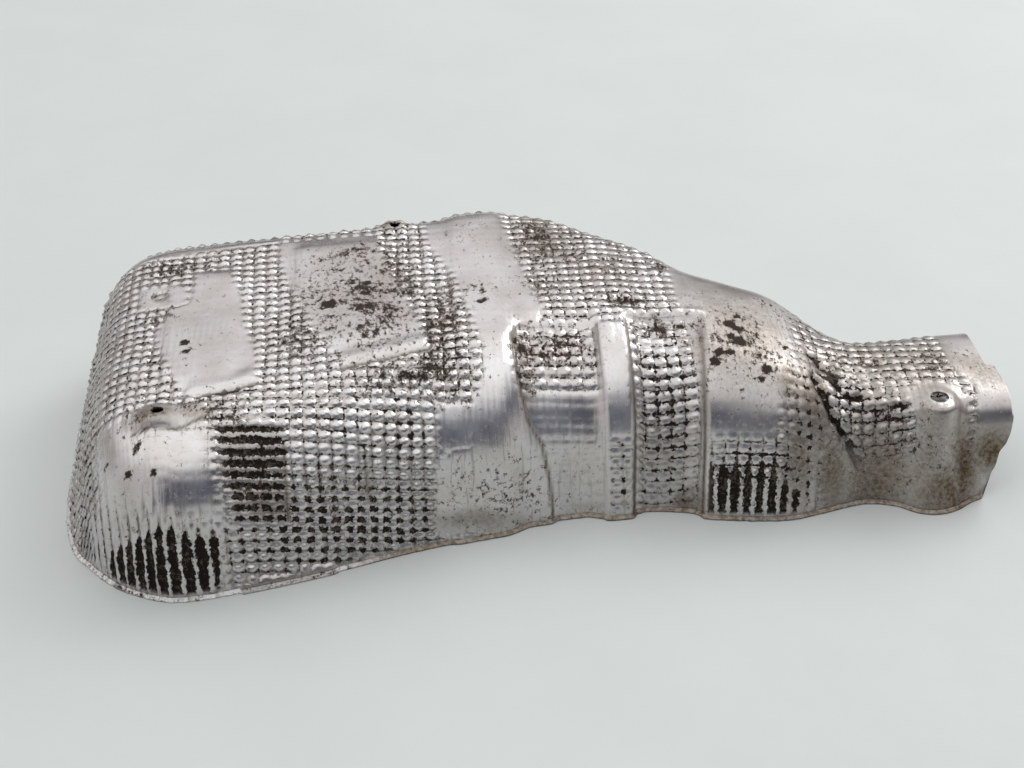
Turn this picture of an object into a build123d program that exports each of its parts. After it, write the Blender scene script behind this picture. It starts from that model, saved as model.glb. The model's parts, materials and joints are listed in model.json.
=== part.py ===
"""Exhaust heat shield: one pressed aluminium sheet, a long hood that narrows to an open neck.

The hood stands on its rim, open side down. +X runs from the closed end to the mouth of the
neck, +Y from the front to the back and +Z is up. All lengths are in millimetres.
"""
import math
import os

from build123d import *

# Sheet and rim
SHEET = 1.0  # thickness of the embossed aluminium
LIP_WIDTH = 2.4  # the rim is turned outwards
HEM_WIDTH = 1.4  # folded edge along part of the front rim
HEM_HEIGHT = 4.5
HEM_START = 98.0
HEM_LENGTH = 48.0

# Plan of the rim and height of the crown, as points along the length from the closed end
LENGTH = 523.0
FRONT_RIM = [
    (0, -72), (16, -84), (39, -104), (66, -114), (97, -109), (145, -97), (194, -82), (250, -70.5),
    (322, -64), (351, -67.5), (398, -73), (423, -67.5), (448, -61.5), (479, -69), (506, -65),
]
BACK_RIM = [
    (0, 84), (16, 108), (39, 127), (66, 135), (128, 138), (191, 141), (250, 150), (283, 141),
    (308, 122), (335, 104), (360, 78), (383, 68), (406, 61), (436, 34), (450, 26), (515, 34),
]
CROWN = [
    (0, 84), (42, 86), (127, 91), (232, 94), (282, 94), (322, 92), (362, 88), (392, 82),
    (412, 74.5), (428, 67), (444, 63.5), (472, 62), (523, 61),
]
CAMBER = 1.5  # rise of the crown in the middle of each section

# Shoulders between crown and walls, and the slope of the walls from upright
FRONT_SHOULDER = [(42, 50), (232, 58), (302, 62), (342, 56), (392, 48), (422, 36), (444, 26), (472, 18)]
BACK_SHOULDER = [(312, 25), (402, 22), (452, 18)]
END_SHOULDER = 32.0
FRONT_DRAFT = 9.0
BACK_DRAFT = 8.0
END_DRAFT = 16.0

# Two panels pressed into the front wall, one on each side of a rib
PANEL_DEPTH = 3.5
PANEL_RAMP = 7.0
PANEL_LEAN = 3.7  # the sections turn by this angle in plan at the panels
PANEL_1_X = 255.0
PANEL_1_WIDTH = 43.0
PANEL_2_X = 321.0
PANEL_2_WIDTH = 33.0

# Raised band across the hood, and two raised flats on the crown beside it
RISE = 1.6
RISE_RAMP = 6.0
BAND_X = 218.0
BAND_WIDTH = 31.0
FLAT_1_X = 59.0
FLAT_1_WIDTH = 41.0
FLAT_1_FRONT = -50.0
FLAT_1_BACK = 76.0
FLAT_2_X = 131.0
FLAT_2_WIDTH = 52.0
FLAT_2_FRONT = -32.0
FLAT_2_BACK = 100.0

# Fixing holes, each through the flat top of its own boss and so far in from the rim beside it
END_HOLE = 7.0
END_HOLE_X = 60.0
END_HOLE_INSET = 49.0
BACK_HOLE = 7.0
BACK_HOLE_X = 191.0
BACK_HOLE_INSET = 29.0
NECK_HOLE = 10.5
NECK_HOLE_TO_MOUTH = 38.5
NECK_HOLE_INSET = 17.0
BOSS_MARGIN = 6.0  # flat left round each hole
BOSS_SLOPE = 11.0  # slope of the sides of a boss from upright
BOSS_RISE = 1.5  # height of the flat over the skin round it

# Mouth of the neck
MOUTH_BACK = 7.5  # the back of its edge stands this far from the tip
MOUTH_STEP = 5.0  # small step in the edge of the crown
MOUTH_STEP_Y = -21.0
MOUTH_RAKE = 26.0  # the front edge of the mouth runs back towards the rim
MOUTH_RAKE_HEIGHT = 42.0
MOUTH_BULGE = 5.0  # and is curved out by this much between its ends

# Sections: how far apart, and how far they run past the rim and the mouth before trimming
SECTION_STEP = 10.0
END_STEPS = 9
RUN_OUT = 12.0


def slope(points, i):
    """Slope at point i of a curve through (x, value) points, level at its ends and peaks."""
    if i in (0, len(points) - 1):
        return 0.0
    (xa, ya), (xb, yb), (xc, yc) = points[i - 1 : i + 2]
    before = (yb - ya) / (xb - xa)
    after = (yc - yb) / (xc - xb)
    if before * after <= 0:
        return 0.0
    return 2 * before * after / (before + after)


def along(x, points):
    """Value at x of that curve."""
    x = min(max(x, points[0][0]), points[-1][0])
    i = max(k for k in range(len(points) - 1) if points[k][0] <= x)
    (x0, y0), (x1, y1) = points[i : i + 2]
    span = x1 - x0
    t = (x - x0) / span
    start = span * slope(points, i)
    end = span * slope(points, i + 1)
    rise = y1 - y0
    return y0 + t * start + t**2 * (3 * rise - 2 * start - end) + t**3 * (start + end - 2 * rise)


def window(x, left, width, ramp):
    """1 between two edges and 0 outside them, with a straight ramp centred on each edge."""
    inside = min(x - left, left + width - x)
    return min(max(inside / ramp + 0.5, 0.0), 1.0)


def reach(height, radius, draft):
    """Plan distance from the edge of the crown over a shoulder to the foot of its wall."""
    turn = math.radians(90 - draft)
    return radius * math.sin(turn) + (height - radius * (1 - math.cos(turn))) / math.tan(turn)


END_HEIGHT = along(0, CROWN)
END_EDGE = reach(END_HEIGHT, END_SHOULDER, END_DRAFT)
BASE = -END_HEIGHT - RUN_OUT


def end_drop(x, inset):
    """How far the closed end has fallen below the crown at x."""
    turn = math.radians(90 - END_DRAFT)
    radius = END_SHOULDER - inset
    out = max(END_EDGE - x, 0.0)
    on_arc = min(out, radius * math.sin(turn))
    return radius - math.sqrt(radius**2 - on_arc**2) + (out - on_arc) * math.tan(turn)


def lean(x):
    """Turn of the section at x in plan: none at either end, most between the panels."""
    return PANEL_LEAN * along(x, [(END_EDGE, 0), (PANEL_1_X + PANEL_1_WIDTH, 1), (LENGTH, 0)])


def shoulder(edge, height, radius, draft, side):
    """Start, middle and end of the arc down from the crown, then the base of the wall."""
    turn = math.radians(90 - draft)
    places = []
    for angle in (0, turn / 2, turn):
        places.append((edge + side * radius * math.sin(angle), height - radius * (1 - math.cos(angle))))
    y, z = places[-1]
    return places + [(y + side * (z - BASE) / math.tan(turn), BASE)]


def hood_section(x, inset):
    """Closed profile of the hood at x, inset from its outside."""
    turn = math.tan(math.radians(lean(x)))
    x_front = x + turn * along(x, FRONT_RIM)
    x_back = x + turn * along(x, BACK_RIM)
    height = along(x, CROWN)
    front = along(x_front, FRONT_SHOULDER)
    back = along(x_back, BACK_SHOULDER)
    front_edge = along(x_front, FRONT_RIM) + reach(along(x_front, CROWN), front, FRONT_DRAFT)
    back_edge = along(x_back, BACK_RIM) - reach(along(x_back, CROWN), back, BACK_DRAFT)

    band = RISE * window(x, BAND_X, BAND_WIDTH, RISE_RAMP)
    panel_1 = window(x, PANEL_1_X, PANEL_1_WIDTH, PANEL_RAMP)
    panel_2 = window(x, PANEL_2_X, PANEL_2_WIDTH, PANEL_RAMP)
    press = band - PANEL_DEPTH * (panel_1 + panel_2)
    flat_1 = window(x, FLAT_1_X, FLAT_1_WIDTH, RISE_RAMP)
    flat_2 = window(x, FLAT_2_X, FLAT_2_WIDTH, RISE_RAMP)
    flat = RISE * (flat_1 + flat_2)
    on_first = x < (FLAT_1_X + FLAT_1_WIDTH + FLAT_2_X) / 2
    front_flat = max(FLAT_1_FRONT if on_first else FLAT_2_FRONT, front_edge + PANEL_RAMP + RISE_RAMP)
    back_flat = min(FLAT_1_BACK if on_first else FLAT_2_BACK, back_edge - RISE_RAMP)

    level = height - inset - end_drop(x, inset)
    front_arc = shoulder(front_edge, level + press, front - inset + press, FRONT_DRAFT, -1)
    back_arc = shoulder(back_edge, level + band, back - inset + band, BACK_DRAFT, 1)
    crown = [front_arc[0]]
    for y, rise in (
        (front_edge + PANEL_RAMP, 0),
        (front_flat, 0),
        (front_flat + RISE_RAMP, flat),
        (back_flat - RISE_RAMP, flat),
        (back_flat, 0),
    ):
        camber = CAMBER * (y - front_edge) * (back_edge - y) * 4 / (back_edge - front_edge) ** 2
        crown.append((y, level + band + camber + rise))
    crown.append(back_arc[0])
    return front_arc, crown, back_arc


def boss_top(x):
    """Height of the flat top of a boss at x."""
    return along(x, CROWN) - end_drop(x, 0) + BOSS_RISE


def hood(inset):
    """Solid hood, inset from its outside and trimmed at the rim."""
    with BuildPart() as solid:
        for x in stations:
            front_arc, crown, back_arc = hood_section(x, inset)
            turn = math.tan(math.radians(lean(x)))
            with BuildSketch(Plane((x, 0, 0), x_dir=(turn, 1, 0), z_dir=(1, -turn, 0))):
                with BuildLine():
                    Line(front_arc[3], front_arc[2])
                    ThreePointArc(*reversed(front_arc[:3]))
                    Polyline(*crown)
                    ThreePointArc(*back_arc[:3])
                    Polyline(back_arc[2], back_arc[3], front_arc[3])
                make_face()
        loft(ruled=True)
        split(bisect_by=Plane.XY, keep=Keep.TOP)
    return solid.part


def bosses(inset):
    """Tapered bosses of the holes, inset from their outside, each standing on the floor."""
    with BuildPart() as solids:
        for x, y, diameter in holes:
            height = boss_top(x) - inset
            radius = diameter / 2 + BOSS_MARGIN - inset
            spread = height * math.tan(math.radians(BOSS_SLOPE))
            with Locations((x, y, height / 2)):
                Cone(radius + spread, radius, height)
    return solids.part


def divide(edges, step):
    """Stations through every edge, and between them no further apart than step."""
    places = [edges[0]]
    for start, end in zip(edges, edges[1:]):
        count = max(1, math.ceil((end - start) / step))
        places += [start + (end - start) * k / count for k in range(1, count + 1)]
    return places


# Stations of the sections: round the closed end, then through each edge of a pressed feature
end_turn = math.radians(90 - END_DRAFT)
stations = [END_EDGE - reach(END_HEIGHT + RUN_OUT, END_SHOULDER, END_DRAFT)]
for k in range(END_STEPS):
    stations.append(END_EDGE - END_SHOULDER * math.sin(end_turn * (1 - k / END_STEPS)))
marks = [END_EDGE]
for left, width, ramp in (
    (FLAT_1_X, FLAT_1_WIDTH, RISE_RAMP),
    (FLAT_2_X, FLAT_2_WIDTH, RISE_RAMP),
    (BAND_X, BAND_WIDTH, RISE_RAMP),
    (PANEL_1_X, PANEL_1_WIDTH, PANEL_RAMP),
    (PANEL_2_X, PANEL_2_WIDTH, PANEL_RAMP),
):
    for edge in (left, left + width):
        marks += [edge - ramp / 2, edge + ramp / 2]
stations += divide(sorted(marks) + [LENGTH + RUN_OUT], SECTION_STEP)

# Place and diameter of each hole
neck_hole_x = LENGTH - NECK_HOLE_TO_MOUTH
neck_hole_y = along(neck_hole_x, FRONT_RIM) + NECK_HOLE_INSET
holes = [
    (END_HOLE_X, along(END_HOLE_X, FRONT_RIM) + END_HOLE_INSET, END_HOLE),
    (BACK_HOLE_X, along(BACK_HOLE_X, BACK_RIM) - BACK_HOLE_INSET, BACK_HOLE),
    (neck_hole_x, neck_hole_y, NECK_HOLE),
]

# The rim is turned outwards: a low ring that follows the hood
with BuildPart() as lip:
    add(hood(-LIP_WIDTH))
    split(bisect_by=Plane.XY.offset(SHEET), keep=Keep.BOTTOM)

# The hem doubles the foot of the front wall over a part of its length
with BuildPart() as hem:
    add(hood(-HEM_WIDTH))
    with Locations((HEM_START, 0, 0)):
        Box(
            HEM_LENGTH,
            LENGTH,
            HEM_HEIGHT,
            align=(Align.MIN, Align.MAX, Align.MIN),
            mode=Mode.INTERSECT,
        )

# What lies beyond the mouth of the neck: cut in plan, and raked back down the front wall
with BuildPart() as mouth:
    with BuildSketch():
        with BuildLine():
            Polyline(
                (LENGTH - MOUTH_BACK, LENGTH),
                (LENGTH - MOUTH_BACK, MOUTH_STEP_Y),
                (LENGTH - MOUTH_BACK + MOUTH_STEP, MOUTH_STEP_Y),
                (LENGTH, neck_hole_y),
                (LENGTH, -LENGTH),
                (2 * LENGTH, -LENGTH),
                (2 * LENGTH, LENGTH),
                close=True,
            )
        make_face()
    extrude(amount=LENGTH, both=True)
    with BuildSketch(Plane.XZ.offset(-neck_hole_y)):
        with BuildLine():
            SagittaArc((LENGTH, MOUTH_RAKE_HEIGHT), (LENGTH - MOUTH_RAKE, 0), MOUTH_BULGE)
            Polyline(
                (LENGTH - MOUTH_RAKE, 0),
                (LENGTH - MOUTH_RAKE, -RUN_OUT),
                (LENGTH + RUN_OUT, -RUN_OUT),
                (LENGTH + RUN_OUT, MOUTH_RAKE_HEIGHT),
                (LENGTH, MOUTH_RAKE_HEIGHT),
            )
        make_face()
    extrude(amount=LENGTH)

with BuildPart() as drills:
    for x, y, diameter in holes:
        with Locations((x, y, boss_top(x))):
            Cylinder(diameter / 2, 4 * SHEET)

# The sheet is the hood with its bosses and rim, less its hollow, its mouth and its holes
with BuildPart() as sheet:
    add([hood(0), bosses(0), lip.part, hem.part])
    add([hood(SHEET), bosses(SHEET), mouth.part, drills.part], mode=Mode.SUBTRACT)

# The frame stands at the middle of the foot of the finished shield
centre = sheet.part.bounding_box().center()
with BuildPart() as heat_shield:
    with Locations((-centre.X, -centre.Y, 0)):
        add(sheet.part)

heat_shield.part.label = "heat_shield"
os.makedirs("parts", exist_ok=True)
export_step(heat_shield.part, "parts/heat_shield.step")
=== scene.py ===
"""Looks of the exhaust heat shield: an embossed and corroded aluminium sheet on a pale table.

The sheet is laid out on a lattice over the solid's own form: p runs along the crown from the foot of
the closed end, q runs across it, from the spine towards the back. Lengths are in millimetres, and
become metres when a mesh is made. The stage, the lamp and the camera are in metres.
"""
import json
import math

import bpy
import numpy as np
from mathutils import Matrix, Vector
from mathutils.bvhtree import BVHTree


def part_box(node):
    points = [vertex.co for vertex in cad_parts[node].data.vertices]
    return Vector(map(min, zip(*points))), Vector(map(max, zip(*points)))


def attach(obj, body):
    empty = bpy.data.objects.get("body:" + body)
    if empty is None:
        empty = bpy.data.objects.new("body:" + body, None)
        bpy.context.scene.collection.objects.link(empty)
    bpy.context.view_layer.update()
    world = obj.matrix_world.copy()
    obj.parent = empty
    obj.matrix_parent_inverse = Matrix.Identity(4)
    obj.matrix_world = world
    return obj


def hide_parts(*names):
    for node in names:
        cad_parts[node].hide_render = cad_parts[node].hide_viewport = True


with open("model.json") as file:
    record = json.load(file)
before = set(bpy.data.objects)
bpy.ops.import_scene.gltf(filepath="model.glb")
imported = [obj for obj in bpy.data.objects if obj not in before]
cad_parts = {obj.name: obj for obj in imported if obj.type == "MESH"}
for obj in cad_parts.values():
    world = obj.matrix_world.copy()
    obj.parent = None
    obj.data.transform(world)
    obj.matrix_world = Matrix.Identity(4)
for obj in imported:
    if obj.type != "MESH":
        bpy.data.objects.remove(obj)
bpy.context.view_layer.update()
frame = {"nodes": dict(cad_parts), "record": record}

MM = 0.001  # metres
NODE = "heat_shield"
MOUNTS = frame["record"]["mounts"]
SHEET = MOUNTS[0]["dims"]["length_mm"]  # thickness, which is the length of each fixing hole

# Lattice: dimple pitch, divisions of the mesh in it, and the line that q is measured from
PITCH = 7.0
DIVISIONS = 4
CELL = PITCH / DIVISIONS
INSIDE_STEP = 2  # the inside skin takes every second point
SHARP_EDGE = math.radians(60)  # edges that turn by more aren't shaded smooth
SPINE_Y = -18.7
FRONT_Q = -205.0  # the lattice ends here in front
BACK_Q = 225.0  # and here at the back
RAY_STEP = 0.25
RAY_START = -1.0  # height below the floor
RAY_MARGIN = 1.0  # on each side of the solid
FOOT = 0.05  # lower hits are the foot of the sheet itself
CUT_HEIGHT = 3.0  # a section that ends higher than this was cut by the mouth
WALL_DRAFT = math.radians(8.5)
END_CLEAR = 2  # stations at the closed end that are too close to its foot to continue
END_EXTRA = 4  # stations added below the closed end
MOUTH_EXTRA = 16  # stations added past the mouth
RUN_STATIONS = 2 * DIVISIONS  # stations that give the sheet's run where it is continued
SMOOTH_P = 1.2
SMOOTH_Q = 2.5
FAR = 999.0  # beyond the lattice

# Embossing
EMBOSS = 1.5  # height of a dimple from channel to top
EMBOSS_POWER = 0.9  # under 1, so that a dimple is fuller than a wave
EMBOSS_SPREAD = (0.5, 1.3)  # share of that height in single dimples
EMBOSS_DRAWS = 200  # shares drawn along and across, more than there are dimples
WALL_EMBOSS = 0.55  # share by which it is higher on the walls
WALL_SLOPE = 0.5  # upward part of the normal where a wall begins
WALL_TURN = 0.4  # and over which it turns into one
ROW_WAVES = 1.6  # how far the rows of dimples stray
END_CROWDED = 115.0  # before this p the dimples stand closer along the hood
END_CROWDING = 0.22  # by this share
FRONT_CROWDED_P = 285.0  # before this p they also stand closer across it
FRONT_CROWDED_Q = -45.0  # in front of this q
FRONT_CROWDED_FADE = 6 * PITCH
FRONT_CROWDING = 0.11  # by this share

# Slow waves of a sheet that has been handled
WAVES = 0.35  # height
WAVE_LENGTHS = (130, 80, 55, 40, 30, 24)
WAVES_EACH = 3  # of each length
ROW_SEEDS = (1, 2)
DIMPLE_SEED = 3
SHEET_SEED = 7

# Where the press has flattened the embossing, as outlines on the lattice
FLATS = {
    "first_flat": [
        (130, 73), (150, 73), (153, 66), (158, 45), (160, 20), (164, 0), (168, -20), (169, -46),
        (133, -54), (125, -40), (119, -22), (113, -5), (110, 10), (112, 22), (119, 36), (128, 40), (130, 60),
    ],
    "first_arm": [(97, 62), (112, 64), (124, 60), (129, 48), (124, 36), (112, 38), (99, 40)],
    "second_flat": [
        (178, 104), (233, 104), (240, 80), (246, 50), (252, 26), (258, 0), (263, -24), (214, -39),
        (207, -15), (199, 0), (194, 20), (188, 40), (182, 60), (179, 80),
    ],
    "band": [
        (265, 118), (266, 90), (273, 68), (279, 50), (283, 25), (287, 0), (292, -25), (290, -45),
        (282, -60), (281, -82), (262, -88), (260, -135), (326, -135), (326, -100), (321, -74), (314, -62),
        (308, -45), (305, -25), (310, -6), (325, 0), (328, 12), (324, 34), (319, 62), (316, 95), (310, 126),
    ],
    "band_side": [(263, -58), (284, -60), (283, -84), (264, -86)],
    "shoulder_patch": [
        (80, -62), (104, -60), (110, -80), (141, -74), (146, -95), (151, -128), (136, -127), (112, -121),
        (96, -111), (82, -96),
    ],
    "end_pad": [(100, -62), (112, -58), (140, -60), (144, -68), (132, -76), (118, -80), (104, -74)],
    "panel_1_middle": [(311, -46), (357, -46), (357, -100), (355, -124), (324, -124), (319, -98), (311, -72)],
    "rib": [(359, -4), (372, -4), (373, -74), (359, -74)],
    "panel_2_edge": [(410, 3), (420, 3), (420, -70), (412, -70)],
    "dome": [
        (406, 62), (404, 20), (406, 8), (414, 6), (414, -77), (450, -77), (458, -55), (465, -30),
        (471, -10), (478, 20), (484, 60),
    ],
    "neck_wall": [(492, -72), (508, -79), (545, -79), (560, -130), (482, -130), (486, -90)],
    "neck_pad": [(530, -40), (545, -34), (562, -38), (566, -50), (562, -130), (538, -130), (535, -60)],
    "neck_tip": [(566, 30), (562, -20), (572, -40), (570, -60), (562, -130), (600, -130), (600, 30)],
    "back_rim": [(80, 92), (180, 104), (180, 112), (90, 106), (66, 80)],
}
FLAT_EDGE = 5.0
SOFT_EDGES = {"shoulder_patch": 14.0, "dome": 10.0, "neck_wall": 12.0}  # flats with a softer edge
FLATNESS = {"shoulder_patch": 0.96, "panel_1_middle": 0.90}  # flats where the embossing still shows
GHOST = 0.05  # share of the embossing left on every flat
EDGE_PLAIN = 5.0  # plain strip along the edge of a pressed form
FOOT_STRIP = 3.0  # plain strip above the rim

# Places where the dimples are lower: place, reach along and across, and the share that they lose
CALM = [
    (366, -100, 12, 45, 0.8), (333, -25, 24, 22, 0.5), (474, -50, 22, 90, 0.78), (488, 5, 24, 45, 0.68),
    (540, -15, 50, 45, 0.62), (80, 0, 22, 90, 0.4), (84, -110, 20, 40, 0.4), (360, 60, 60, 60, 0.45),
    (394, -95, 26, 45, 0.72), (394, -35, 24, 35, 0.2), (465, -85, 16, 40, 0.4), (434, -84, 30, 12, 0.7),
    (212, -122, 60, 36, 0.55),
]

# Places where the dimples have run together into upright bars
BARS = [
    [(74, -102), (112, -112), (148, -130), (146, -175), (60, -175)],
    [(414, -97), (476, -104), (480, -135), (414, -135)],
]
BAR_EDGE = 3 * PITCH
BAR_HEIGHT = 0.8  # share of a dimple's height that a bar keeps between dimples

# Parts of the bars filled with grime and painted shade
BAR_FILLS = [
    [(86, -130), (147, -134), (142, -180), (66, -180)],
    [(416, -93), (448, -95), (470, -106), (464, -140), (414, -140)],
]
BAR_FADE = 9.0
BAR_GRIME_AND_SHADE = 0.98

# Forms that are sharper than the solid's own: outline, height and width of the edge
FORMS = [
    (
        [
            (312, -4), (357, -2), (358, -128), (329, -128), (326, -100), (321, -76), (314, -64),
            (309, -40), (308, -15),
        ],
        -2.2, 3.0,
    ),
    ([(374, 3), (418, 3), (417, -10), (413, -60), (413, -126), (374, -126)], -2.2, 3.0),
]

# Panel in the front wall where grime fills whole rows
DARK_PANEL = [(147, -74), (182, -74), (183, -130), (155, -130), (149, -104)]
DARK_DEPTH = 0.9
DARK_EDGE = 3.0
DARK_FADE = 8.0  # width of the edge of its dirt
DARK_GRIME = 0.9
DARK_FILM = 0.5

# Hollows: place, reach along and across, and depth
HOLLOWS = [
    (376, 17, 9, 5, 2.6),
    (488, -24, 7, 6, 2.5),
    (519, -17, 6, 4, 1.6),
]

# Creases where the hood folds into the neck and along the pressed forms: points, depth, width, and the grime
# and painted shade in them
CREASES = [
    ([(479, -36), (482, -45), (486, -53), (489, -59), (494, -64), (500, -73), (506, -84)], 3.2, 2.3, 1.2),
    ([(481, -17), (488, -23), (491, -27), (494, -34)], 2.2, 2.2, 1.2),
    ([(484, -31), (490, -34), (493, -37), (496, -42), (501, -44), (507, -44)], 2.4, 1.9, 1.2),
    ([(523, -50.5), (527, -51), (532, -52.5)], 1.4, 1.4, 1.1),
    ([(514, -52.5), (520, -56), (523, -58), (528, -59.5), (533, -59.5)], 1.6, 1.4, 1.1),
    ([(309, -12), (311, -40), (315, -66), (322, -77), (326, -100), (328, -128)], 0.7, 1.3, 0.8),
    ([(374, 0), (374, -126)], 0.6, 1.2, 0.8),
    ([(414, -10), (413, -126)], 0.6, 1.2, 0.8),
    ([(182, -84), (182, -128)], 0.7, 1.4, 0.8),
    ([(107, 51), (109, 54), (113, 54), (115, 51), (113, 48), (109, 48), (107, 51)], 0.6, 1.0, 0.8),
    ([(138, -54), (150, -52), (159, -49.5), (168, -46)], 1.3, 1.5, 1.0),
    ([(214, -38), (234, -32.5), (262, -23.5)], 1.0, 1.2, 1.0),
    ([(224, -84), (225, -116)], 0.6, 1.4, 0.8),
    ([(103, -75), (112, -77.5), (122, -78), (132, -74), (143, -67)], 0.7, 1.2, 0.9),
]
# film and painted shade along the creases
CREASE_FILM_AND_SHADE = 0.95

# Raised folds beside them: points, height and width
RIDGES = [
    ([(495, -14), (497, -23), (499, -28), (501, -33), (505, -39)], 1.4, 1.8),
    ([(483, -42), (488, -51), (493, -57)], 1.2, 2.6),
    ([(510, -46), (520, -47.5), (530, -49)], 1.0, 2.0),
    ([(376, 7), (398, 8), (418, 7)], 0.7, 2.4),
    ([(535, -55), (545, -63), (552, -64), (560, -58)], 0.7, 2.2),
]

# Raised front lips of the flats: points, height, and how far each rises from the flat and falls in front
LIPS = [
    ([(132, -48), (152, -45.5), (167, -40.5)], 1.6, 14.0, 4.5),
    ([(213, -32), (234, -26.5), (262, -18)], 1.5, 14.0, 4.5),
    ([(100, -69), (112, -72), (122, -72.5), (131, -69), (143, -61)], 1.3, 12.0, 4.0),
]

# Folded hem along the front rim
HEM_START = 155.0
HEM_END = 205.0
HEM_HEIGHT = 4.5
HEM_WIDTH = 1.4
HEM_FILM = 0.55

# Edge of the mouth
MOUTH = [
    (583, 60), (583, -21), (588, -21.5), (590, -45), (591, -60), (590, -68), (588, -75), (584.5, -80),
    (583, -89), (580, -95), (576, -102), (571, -110), (566, -120), (560, -135),
]

# Turned rim: how far out and how high each of its lines runs, from the wall round to the inside
LIP = [(0.25, 2.1), (0.5, 2.0), (2.1, 0.95), (2.4, 0.7), (2.4, 0.4), (2.1, 0.0)]
LIP_TOP = 2 * SHEET
LIP_FADE = 16.0  # height where it has died out, up the edge of the mouth
LIP_SPAN = 3  # points on each side that give its direction
BARE_END = 215.0  # the rim is bright up to here and dirty past it
BARE_FADE = 60.0
RIM_FILM = 0.9

# Corrosion: place, reach along and across, and strength
CORROSION = [
    (230, 28, 34, 60, 0.70), (222, 76, 24, 20, 0.62), (205, 30, 18, 40, 0.45), (215, -12, 25, 18, 0.35),
    (240, 10, 18, 22, 0.4), (268, 0, 16, 34, 0.55), (266, -40, 18, 22, 0.55), (243, -46, 25, 12, 0.5),
    (194, 28, 8, 40, 0.4), (192, -8, 16, 20, 0.4), (118, 84, 22, 12, 0.45), (112, 30, 9, 12, 0.5),
    (110, 52, 12, 8, 0.3), (333, 90, 16, 34, 0.5), (350, 60, 28, 25, 0.3), (328, 36, 14, 14, 0.4),
    (376, 60, 26, 26, 0.25), (332, -20, 24, 20, 0.5), (395, -3, 20, 7, 0.6), (376, 18, 14, 7, 0.65),
    (404, 55, 6, 9, 0.7), (110, -66, 14, 8, 0.68), (137, -64, 14, 7, 0.68), (156, -68, 10, 14, 0.4),
    (165, -106, 16, 24, 0.25), (215, -120, 45, 34, 0.3), (300, -108, 44, 30, 0.36), (488, -26, 10, 9, 0.6),
    (519, -17, 8, 5, 0.7), (560, -14, 22, 14, 0.4), (394, -60, 18, 60, 0.15), (445, -105, 32, 20, 0.25),
    (110, -145, 34, 26, 0.15), (290, 30, 22, 10, 0.35), (296, 100, 22, 18, 0.25), (438, -20, 34, 42, 0.42),
    (130, -8, 5, 10, 0.35), (530, -90, 40, 40, 0.3), (470, 20, 30, 40, 0.3), (315, -24, 8, 30, 0.6),
]

# Single spots of it: place and radius
SPOTS = [
    (434, -4, 3.0), (438, -8, 2.6), (437, -19, 3.4), (433, -15, 2.2), (431, -28, 1.8), (424, -28, 2.4),
    (421, -34, 2.6), (450, -38, 2.6), (446, -44, 2.0), (464, -18, 1.6), (440, 4, 1.6), (101, -95, 2.2),
    (106, -84, 2.2), (88, -84, 1.8), (115, -103, 2.0), (208, 24, 3.5), (128, -2, 2.2), (129, -11, 1.8),
    (293, 17, 2.4), (296, 18, 2.0),
]

# Brown film: place, reach along and across, and strength
FILM = [
    (515, -95, 30, 60, 0.92), (564, -90, 14, 36, 1.1), (542, -92, 16, 60, 0.72), (530, -20, 60, 60, 0.66),
    (338, 86, 26, 40, 0.55), (370, 45, 44, 40, 0.36), (230, 30, 34, 60, 0.28), (140, 10, 30, 60, 0.20),
    (168, -116, 18, 16, 0.75), (395, -4, 20, 10, 0.5), (330, -22, 22, 22, 0.35), (82, 20, 22, 90, 0.25),
    (84, -80, 22, 30, 0.15), (114, -68, 14, 8, 0.85), (136, -66, 14, 6, 0.6), (442, -10, 38, 58, 0.72),
    (478, -55, 16, 60, 0.85), (392, -80, 24, 55, 0.5), (582, -28, 24, 26, 0.7), (580, -80, 20, 20, 1.05),
    (462, -42, 14, 22, 0.75), (466, -85, 16, 40, 0.85), (488, -88, 18, 40, 0.9), (336, -98, 12, 26, 0.3),
    (315, -28, 6, 34, 0.6), (404, -116, 12, 16, 0.9), (282, -126, 34, 8, 0.7), (556, -112, 30, 26, 1.0),
    (248, 113, 9, 8, 0.8),
]
WALL_FILM = 0.20  # film low on the front wall
WALL_FILM_TOP = 62.0  # and the height where it ends

# Grime and painted shade between the dimples: place, reach along and across, and strength
GRIME_AND_SHADE = [
    (208, -130, 80, 38, 0.85), (246, -78, 16, 28, 0.62), (268, -18, 16, 45, 0.48),
    (112, -158, 46, 32, 0.6), (394, -58, 22, 75, 0.56), (334, -20, 26, 22, 0.42), (350, -90, 9, 50, 0.55),
    (446, -106, 40, 32, 0.68), (345, 80, 36, 40, 0.34), (376, 20, 20, 12, 0.45), (190, 10, 16, 60, 0.36),
    (118, 84, 26, 16, 0.42), (540, -20, 40, 40, 0.32), (500, -50, 30, 22, 0.44), (78, -120, 16, 40, 0.45),
    (365, -100, 10, 26, 0.62), (150, -72, 14, 14, 0.45), (472, -65, 14, 45, 0.58),
]
GRIME_AND_SHADE_BASE = 0.25
GRIME_AND_SHADE_SHIFT = 0.4  # on a wall the grime and painted shade lie above the channel, on the lower flank of the dimple above, in half pitches

# Places where the grime and painted shade fill whole rows, and where they lie in spots at the crossings
FULL_ROWS = [(332, -58, 22, 18, 0.7)]
SPOTTED = [
    (205, -130, 62, 30, 1.2), (300, -120, 30, 20, 0.6), (394, -75, 24, 60, 0.35), (246, -80, 16, 26, 0.8),
    (365, -102, 12, 30, 1.0), (350, -95, 9, 40, 0.8), (474, -70, 14, 45, 0.9),
]

# Colours of the material
CLEAN = (0.74, 0.725, 0.72, 1)
DULL = (0.635, 0.605, 0.585, 1)
BARE_EDGE = (0.86, 0.85, 0.84, 1)
# film, and painted shade in the channels and along the creases
FILM_AND_SHADE_COLOUR = (0.128, 0.089, 0.047, 1)
# grime, and painted shade in the channels, at their crossings and along the creases
GRIME_AND_SHADE_COLOUR = (0.020, 0.016, 0.013, 1)
STAIN_COLOUR = (0.17, 0.135, 0.105, 1)
PIT_COLOUR = (0.040, 0.031, 0.025, 1)

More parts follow.
